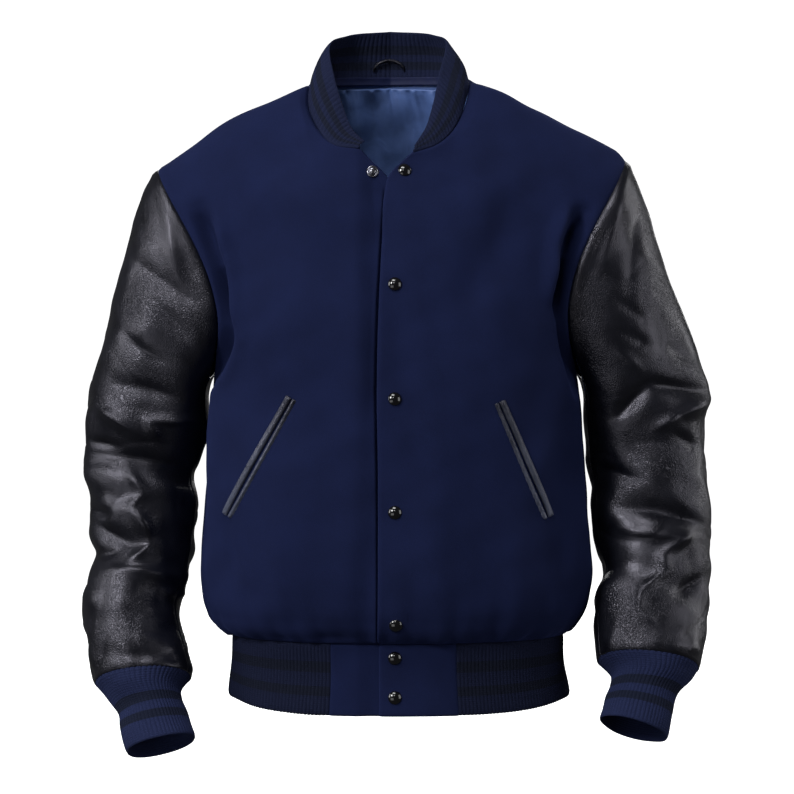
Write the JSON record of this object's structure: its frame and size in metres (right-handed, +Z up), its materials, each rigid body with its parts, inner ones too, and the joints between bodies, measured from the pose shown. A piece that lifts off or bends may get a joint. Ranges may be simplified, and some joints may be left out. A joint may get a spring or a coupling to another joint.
{
  "type": "varsity jacket",
  "caption": "Hip-length wool varsity jacket with leather sleeves, striped rib collar, cuffs and hem, slanted welt pockets and a snap front, filled out with no wearer.",
  "frame": {"origin": "on the centre line at the height of the neck's side points, where the wearer's shoulders and neck hold the jacket", "axes": "+Z up, the front faces -Y, +X towards the wearer's left"},
  "size_m": [0.677, 0.2959, 0.7784],
  "materials": {
    "wool": "napped wool melton",
    "leather": "semi-gloss grained leather",
    "knit": "ribbed wool knit with woven-in darker stripes",
    "satin": "satin",
    "snap_cap": "black gloss enamel",
    "snap_stud": "black-nickel plate"
  },
  "bodies": {
    "root": {"front_right": "wool", "front_left": "wool", "back": "wool", "sleeve_right_upper": "leather", "sleeve_right_under": "leather", "sleeve_left_upper": "leather", "sleeve_left_under": "leather", "hem_tab_right": "wool", "hem_tab_left": "wool", "hem_rib": "knit", "collar": "knit", "cuff_right": "knit", "cuff_left": "knit", "lining_back": "satin", "neck_tape": "satin", "hanger_loop": "leather", "pocket_welt_right_outer": "leather", "pocket_welt_right_inner": "leather", "pocket_welt_left_outer": "leather", "pocket_welt_left_inner": "leather", "snap_cap_1": "snap_cap", "snap_cap_2": "snap_cap", "snap_cap_3": "snap_cap", "snap_cap_4": "snap_cap", "snap_cap_5": "snap_cap", "snap_cap_6": "snap_cap", "snap_cap_7": "snap_cap", "snap_stud": "snap_stud"}
  },
  "joints": []
}
